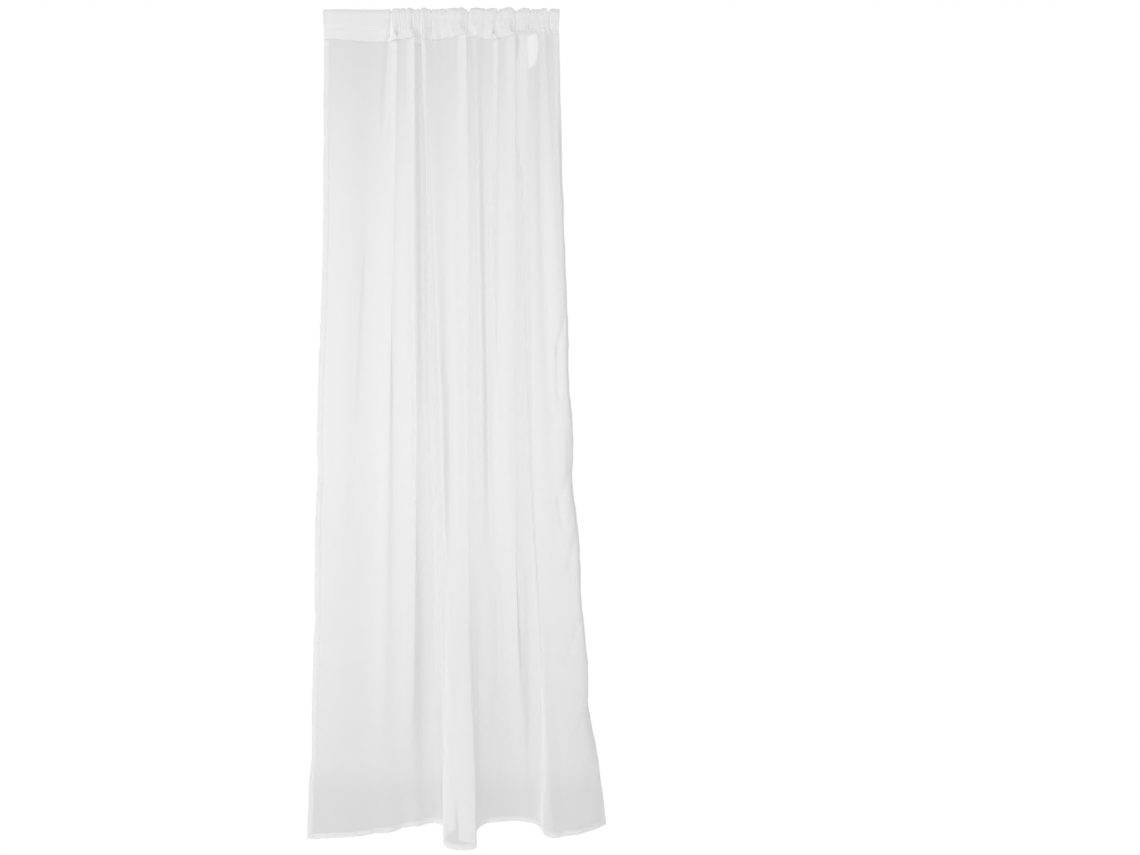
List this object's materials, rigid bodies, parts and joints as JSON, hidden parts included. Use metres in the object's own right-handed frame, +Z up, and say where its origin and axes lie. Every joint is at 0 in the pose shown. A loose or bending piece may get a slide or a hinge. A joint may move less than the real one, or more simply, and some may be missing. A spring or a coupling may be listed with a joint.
{
  "type": "sheer voile curtain",
  "caption": "Sheer white curtain panel with a gathered rod pocket, hanging free in uneven folds with narrow hems at its sides and foot.",
  "frame": {"origin": "on the top edge of the rod pocket, midway across it and midway front to back", "axes": "+Z up along the drop, away from the cloth; -Y out of the front; +X to the right seen from the front"},
  "size_m": [0.7297, 0.1431, 2.0056],
  "materials": {
    "voile": "sheer plain weave, matt",
    "heading_voile": "sheer plain weave, doubled, matt",
    "label_cloth": "close satin tape"
  },
  "bodies": {
    "root": {"panel": "voile", "heading": "heading_voile", "label": "label_cloth"}
  },
  "joints": []
}
